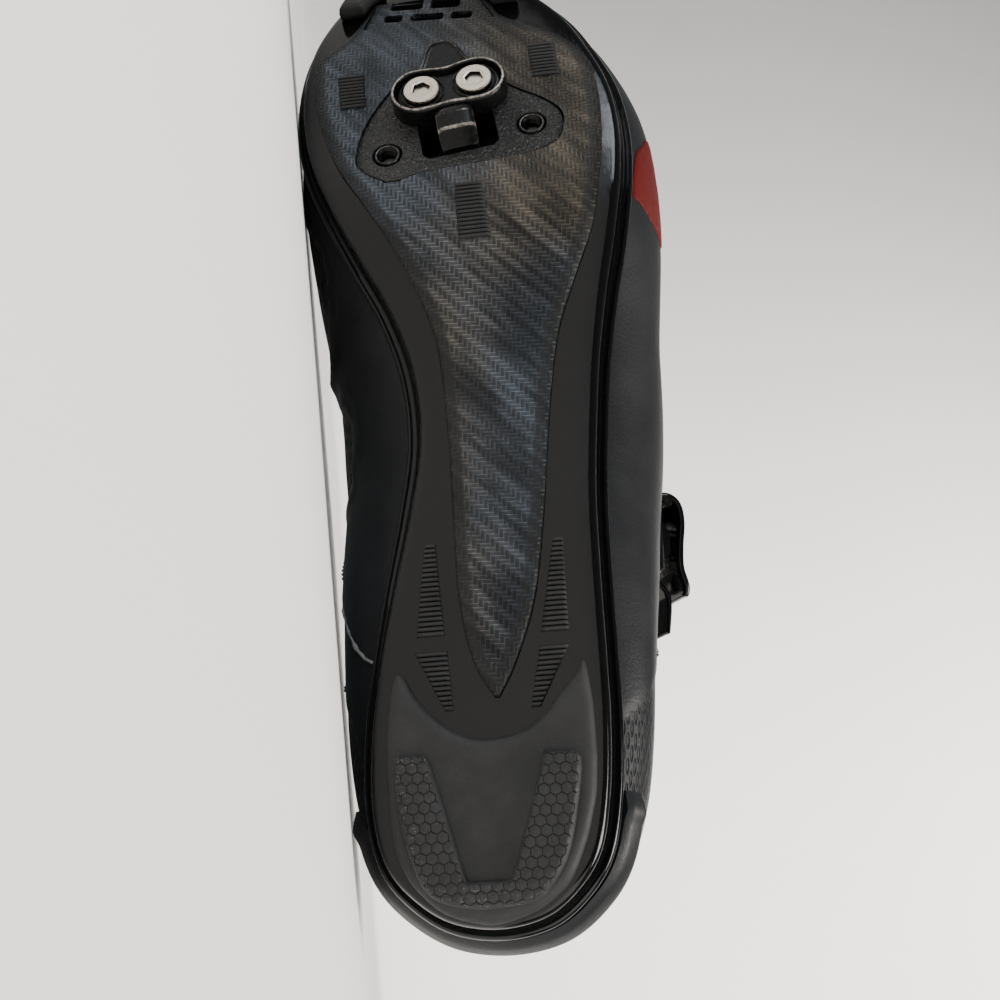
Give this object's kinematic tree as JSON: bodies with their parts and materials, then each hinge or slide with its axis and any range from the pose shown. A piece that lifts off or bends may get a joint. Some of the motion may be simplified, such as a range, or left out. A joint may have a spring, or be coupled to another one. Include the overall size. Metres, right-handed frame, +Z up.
{
  "type": "cycling shoe",
  "caption": "Left road cycling shoe lying on its inner side: glossy sole shell with carbon-look panel, heel pad, two-bolt cleat, hollow upper, straps and ratchet buckle.",
  "frame": {"origin": "middle of the floor under the shoe, which lies on its inner side", "axes": "+X to the heel, along the shoe; the sole faces -Y; +Z up, out of the outer side"},
  "size_m": [0.2832, 0.107, 0.0985],
  "materials": {
    "glossy_shell": "gloss",
    "carbon_look": "satin twill print",
    "grained_plastic": "grained",
    "synthetic_leather": "matte",
    "matte_rubber": "matte",
    "insole_fabric": "knit",
    "black_steel": "blackened, worn at the edges",
    "nickel": "satin"
  },
  "bodies": {
    "root": {"sole_shell": "glossy_shell", "carbon_panel": "carbon_look", "cleat_insert": "grained_plastic", "threaded_ring_medial": "black_steel", "threaded_ring_lateral": "black_steel", "cleat": "black_steel", "cleat_washer": "black_steel", "cleat_screw_medial": "nickel", "cleat_screw_lateral": "nickel", "heel_pad": "matte_rubber", "rib_patch_medial_rear": "glossy_shell", "rib_patch_medial_front": "glossy_shell", "rib_patch_lateral_rear": "glossy_shell", "rib_patch_lateral_front": "glossy_shell", "grip_patch_middle": "grained_plastic", "grip_patch_medial": "grained_plastic", "grip_patch_lateral": "grained_plastic", "toe_bumper_medial": "matte_rubber", "toe_bumper_lateral": "matte_rubber", "upper": "synthetic_leather", "heel_cap": "synthetic_leather", "tongue": "synthetic_leather", "insole": "insole_fabric", "strap_front": "synthetic_leather", "strap_middle": "synthetic_leather", "ratchet_strap": "glossy_shell", "buckle_base": "glossy_shell", "buckle_lever": "glossy_shell", "buckle_tab": "glossy_shell"}
  },
  "joints": []
}
